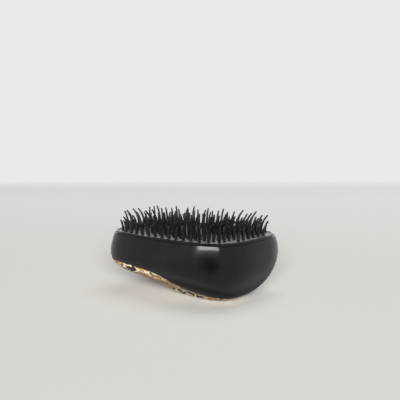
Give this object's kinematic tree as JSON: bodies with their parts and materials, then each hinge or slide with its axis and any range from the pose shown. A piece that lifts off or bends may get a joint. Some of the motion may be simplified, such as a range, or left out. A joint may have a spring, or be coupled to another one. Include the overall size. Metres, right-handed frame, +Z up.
{
  "type": "hair brush",
  "caption": "Palm-held detangling hair brush without a handle: a rounded hollow housing with a printed back, and a plate of flexible bristles in two lengths inside its rim.",
  "frame": {"origin": "on the surface that the brush lies on, within its flat foot and straight below the middle of the rim", "axes": "+X along the brush towards its thick end, +Y across it, +Z up along the bristles"},
  "size_m": [0.0906, 0.0644, 0.045],
  "materials": {
    "barrel": "satin black, fine moulded grain",
    "back_print": "gloss, spotted animal-type print on cream",
    "plate": "smooth black",
    "bristle": "satin black"
  },
  "bodies": {
    "housing": {"back_shell": "back_print", "body_shell": "barrel", "bristle_plate": "plate"},
    "row_01": {"bristle_row_01": "bristle"},
    "row_02": {"bristle_row_02": "bristle"},
    "row_03": {"bristle_row_03": "bristle"},
    "row_04": {"bristle_row_04": "bristle"},
    "row_05": {"bristle_row_05": "bristle"},
    "row_06": {"bristle_row_06": "bristle"},
    "row_07": {"bristle_row_07": "bristle"},
    "row_08": {"bristle_row_08": "bristle"},
    "row_09": {"bristle_row_09": "bristle"},
    "row_10": {"bristle_row_10": "bristle"},
    "row_11": {"bristle_row_11": "bristle"},
    "row_12": {"bristle_row_12": "bristle"},
    "row_13": {"bristle_row_13": "bristle"},
    "row_14": {"bristle_row_14": "bristle"},
    "row_15": {"bristle_row_15": "bristle"},
    "row_16": {"bristle_row_16": "bristle"},
    "row_17": {"bristle_row_17": "bristle"}
  },
  "joints": [
    {"name": "row_01_bend", "type": "hinge", "parent": "housing", "child": "row_01", "pos_m": [-0.03845, 0, 0.0343], "axis": [0, 1, 0], "range_deg": [-20, 20], "stiffness_Nm_per_rad": 0.05},
    {"name": "row_02_bend", "type": "hinge", "parent": "housing", "child": "row_02", "pos_m": [-0.03364, 0, 0.0343], "axis": [0, 1, 0], "range_deg": [-20, 20], "stiffness_Nm_per_rad": 0.05},
    {"name": "row_03_bend", "type": "hinge", "parent": "housing", "child": "row_03", "pos_m": [-0.02884, 0, 0.0343], "axis": [0, 1, 0], "range_deg": [-20, 20], "stiffness_Nm_per_rad": 0.05},
    {"name": "row_04_bend", "type": "hinge", "parent": "housing", "child": "row_04", "pos_m": [-0.02403, 0, 0.0343], "axis": [0, 1, 0], "range_deg": [-20, 20], "stiffness_Nm_per_rad": 0.05},
    {"name": "row_05_bend", "type": "hinge", "parent": "housing", "child": "row_05", "pos_m": [-0.01922, 0, 0.0343], "axis": [0, 1, 0], "range_deg": [-20, 20], "stiffness_Nm_per_rad": 0.05},
    {"name": "row_06_bend", "type": "hinge", "parent": "housing", "child": "row_06", "pos_m": [-0.01442, 0, 0.0343], "axis": [0, 1, 0], "range_deg": [-20, 20], "stiffness_Nm_per_rad": 0.05},
    {"name": "row_07_bend", "type": "hinge", "parent": "housing", "child": "row_07", "pos_m": [-0.00961, 0, 0.0343], "axis": [0, 1, 0], "range_deg": [-20, 20], "stiffness_Nm_per_rad": 0.05},
    {"name": "row_08_bend", "type": "hinge", "parent": "housing", "child": "row_08", "pos_m": [-0.00481, 0, 0.0343], "axis": [0, 1, 0], "range_deg": [-20, 20], "stiffness_Nm_per_rad": 0.05},
    {"name": "row_09_bend", "type": "hinge", "parent": "housing", "child": "row_09", "pos_m": [0, 0, 0.0343], "axis": [0, 1, 0], "range_deg": [-20, 20], "stiffness_Nm_per_rad": 0.05},
    {"name": "row_10_bend", "type": "hinge", "parent": "housing", "child": "row_10", "pos_m": [0.00481, 0, 0.0343], "axis": [0, 1, 0], "range_deg": [-20, 20], "stiffness_Nm_per_rad": 0.05},
    {"name": "row_11_bend", "type": "hinge", "parent": "housing", "child": "row_11", "pos_m": [0.00961, 0, 0.0343], "axis": [0, 1, 0], "range_deg": [-20, 20], "stiffness_Nm_per_rad": 0.05},
    {"name": "row_12_bend", "type": "hinge", "parent": "housing", "child": "row_12", "pos_m": [0.01442, 0, 0.0343], "axis": [0, 1, 0], "range_deg": [-20, 20], "stiffness_Nm_per_rad": 0.05},
    {"name": "row_13_bend", "type": "hinge", "parent": "housing", "child": "row_13", "pos_m": [0.01922, 0, 0.0343], "axis": [0, 1, 0], "range_deg": [-20, 20], "stiffness_Nm_per_rad": 0.05},
    {"name": "row_14_bend", "type": "hinge", "parent": "housing", "child": "row_14", "pos_m": [0.02403, 0, 0.0343], "axis": [0, 1, 0], "range_deg": [-20, 20], "stiffness_Nm_per_rad": 0.05},
    {"name": "row_15_bend", "type": "hinge", "parent": "housing", "child": "row_15", "pos_m": [0.02884, 0, 0.0343], "axis": [0, 1, 0], "range_deg": [-20, 20], "stiffness_Nm_per_rad": 0.05},
    {"name": "row_16_bend", "type": "hinge", "parent": "housing", "child": "row_16", "pos_m": [0.03364, 0, 0.0343], "axis": [0, 1, 0], "range_deg": [-20, 20], "stiffness_Nm_per_rad": 0.05},
    {"name": "row_17_bend", "type": "hinge", "parent": "housing", "child": "row_17", "pos_m": [0.03845, 0, 0.0343], "axis": [0, 1, 0], "range_deg": [-20, 20], "stiffness_Nm_per_rad": 0.05}
  ]
}
